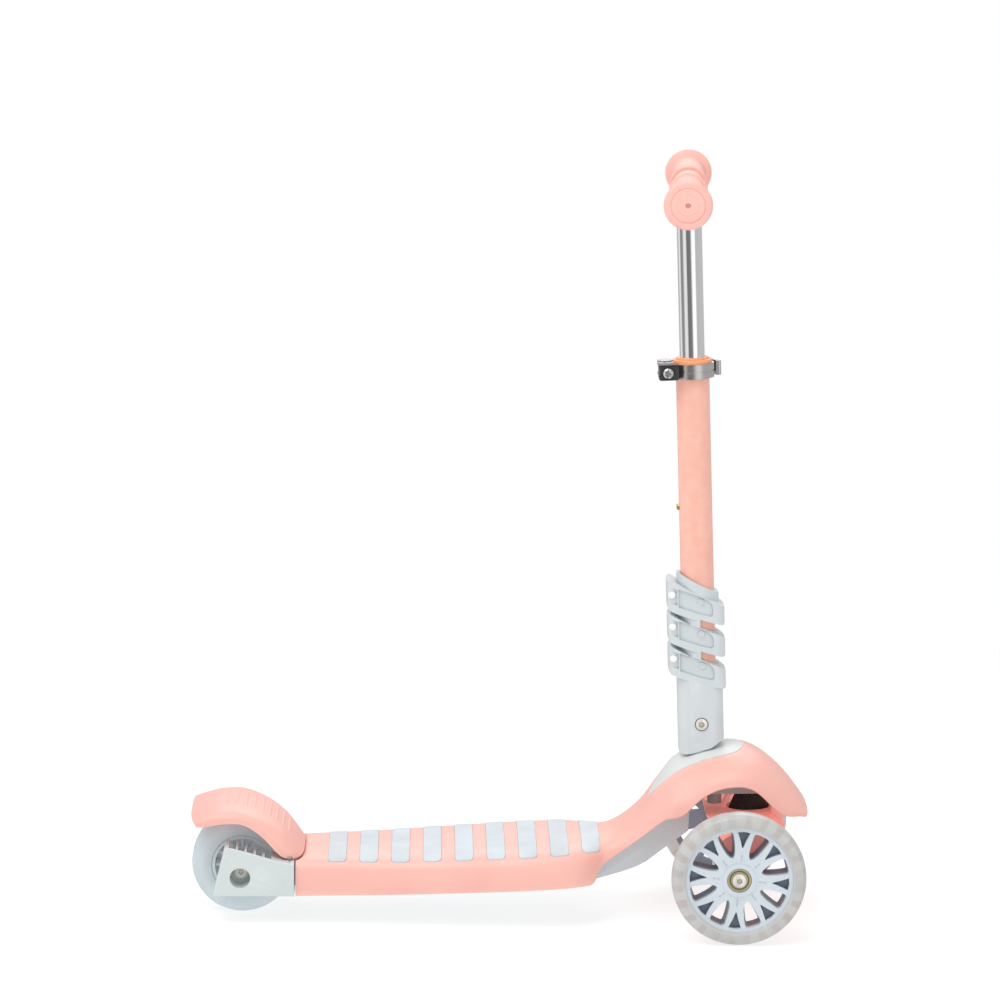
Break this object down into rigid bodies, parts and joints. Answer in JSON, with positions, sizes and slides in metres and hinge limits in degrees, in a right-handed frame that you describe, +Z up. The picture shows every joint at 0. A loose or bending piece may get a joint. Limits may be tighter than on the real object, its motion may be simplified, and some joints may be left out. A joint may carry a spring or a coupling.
{
  "type": "kick scooter",
  "caption": "Child's lean-to-steer kick scooter with a telescoping T handlebar, moulded hooded deck with raised tread pads, cantilevered front wheels, a wide rear wheel and a foot brake.",
  "frame": {"origin": "on the ground, midway along the scooter's length and on its middle plane", "axes": "+X forwards towards the front wheels, +Y to the rider's left, +Z up"},
  "size_m": [0.5585, 0.2712, 0.6836],
  "materials": {
    "coral_shell": "satin moulded plastic, pale coral",
    "coral_paint": "satin powder coat, coral",
    "coral_truck": "fine matt, deeper coral",
    "coral_grip": "soft matt foam rubber, coral",
    "pad_grey": "soft matt, pale grey",
    "trim_white": "satin, off-white",
    "cover_grey": "matt, light grey",
    "socket_white": "satin, off-white",
    "fork_grey": "matt, light grey",
    "hub_blue": "satin, pale blue-grey",
    "rear_hub_grey": "matt, mid grey",
    "tyre_milky": "smooth, milky",
    "tyre_grey": "smooth, pale grey",
    "bearing_steel": "ground steel with dark shields",
    "screw_steel": "zinc plated",
    "bracket_alloy": "as cast",
    "collar_alloy": "satin anodised",
    "chrome_tube": "polished",
    "bright_bolt": "polished dome",
    "snap_brass": "satin",
    "spring_steel": "spring steel",
    "bar_steel": "plain grey coat",
    "black_plastic": "matt, black",
    "bush_coral": "matt, orange-coral",
    "black_rubber": "matt, black",
    "plug_dark": "matt, dark"
  },
  "bodies": {
    "frame": {"deck_shell": "coral_shell", "deck_pads": "pad_grey", "column_trim": "trim_white", "underside_cover": "cover_grey", "cover_screws": "screw_steel", "chassis_bracket": "bracket_alloy", "bracket_screws": "screw_steel", "steering_socket": "socket_white", "claw_screws": "screw_steel", "socket_bolt": "screw_steel", "socket_nut": "screw_steel", "outer_tube": "coral_paint", "tube_bush": "bush_coral", "clamp_collar": "collar_alloy", "clamp_block": "black_plastic", "clamp_bolt": "bright_bolt", "lever_pin": "screw_steel", "kingpin": "screw_steel", "kingpin_nut": "screw_steel", "kingpin_washer": "screw_steel", "lower_bushing": "black_rubber", "upper_bushing": "black_rubber", "rear_fork": "fork_grey", "rear_axle_bolt": "screw_steel", "rear_axle_nut": "screw_steel", "rear_collars": "collar_alloy", "rear_spacer": "collar_alloy", "fender_pins": "screw_steel", "fender_spring": "spring_steel"},
    "handlebar": {"inner_tube": "chrome_tube", "tube_plug": "plug_dark", "snap_spring": "spring_steel", "crossbar": "bar_steel", "tee_sleeve": "coral_paint", "left_grip": "coral_grip", "right_grip": "coral_grip", "grip_plugs": "plug_dark"},
    "snap_button": {"snap_button": "snap_brass"},
    "clamp_lever": {"clamp_lever": "collar_alloy"},
    "truck": {"truck_housing": "coral_truck", "left_axle_bolt": "screw_steel", "right_axle_bolt": "screw_steel", "left_axle_insert": "snap_brass", "right_axle_insert": "snap_brass", "left_axle_collar": "collar_alloy", "right_axle_collar": "collar_alloy", "left_front_spacer": "collar_alloy", "right_front_spacer": "collar_alloy"},
    "left_front_wheel": {"left_front_tyre": "tyre_milky", "left_front_hub": "hub_blue", "left_front_bearings": "bearing_steel"},
    "right_front_wheel": {"right_front_tyre": "tyre_milky", "right_front_hub": "hub_blue", "right_front_bearings": "bearing_steel"},
    "rear_wheel": {"rear_tyre": "tyre_grey", "rear_hub": "rear_hub_grey", "rear_bearings": "bearing_steel"},
    "fender": {"brake_fender": "coral_shell", "brake_pad": "black_rubber"}
  },
  "joints": [
    {"name": "handlebar_height", "type": "slide", "parent": "frame", "child": "handlebar", "axis": [-0.0376, 0, 0.9993], "range_m": [0, 0.089], "deforming": ["snap_button", "snap_spring"]},
    {"name": "snap_button_press", "type": "slide", "parent": "handlebar", "child": "snap_button", "axis": [0.9993, 0, 0.0376], "range_m": [0, 0.0044], "stiffness_N_per_m": 400, "springref_m": -0.001, "deforming": ["snap_spring"]},
    {"name": "clamp_lever_open", "type": "hinge", "parent": "frame", "child": "clamp_lever", "pos_m": [0.14647, 0.0172, 0.49879], "axis": [-0.0376, 0, 0.9993], "range_deg": [0, 150]},
    {"name": "lean_steer", "type": "hinge", "parent": "frame", "child": "truck", "pos_m": [0.2105, 0, 0.06], "axis": [0.3907, 0, 0.9205], "range_deg": [-12, 12], "stiffness_Nm_per_rad": 45},
    {"name": "left_front_spin", "type": "hinge", "parent": "truck", "child": "left_front_wheel", "pos_m": [0.2105, 0.113, 0.06], "axis": [0, 1, 0], "continuous": true},
    {"name": "right_front_spin", "type": "hinge", "parent": "truck", "child": "right_front_wheel", "pos_m": [0.2105, -0.113, 0.06], "axis": [0, 1, 0], "continuous": true},
    {"name": "rear_spin", "type": "hinge", "parent": "frame", "child": "rear_wheel", "pos_m": [-0.2342, 0, 0.046], "axis": [0, 1, 0], "continuous": true},
    {"name": "brake_press", "type": "hinge", "parent": "frame", "child": "fender", "pos_m": [-0.19, 0, 0.0595], "axis": [0, -1, 0], "range_deg": [0, 4.5], "stiffness_Nm_per_rad": 3, "springref_deg": -5.73}
  ]
}
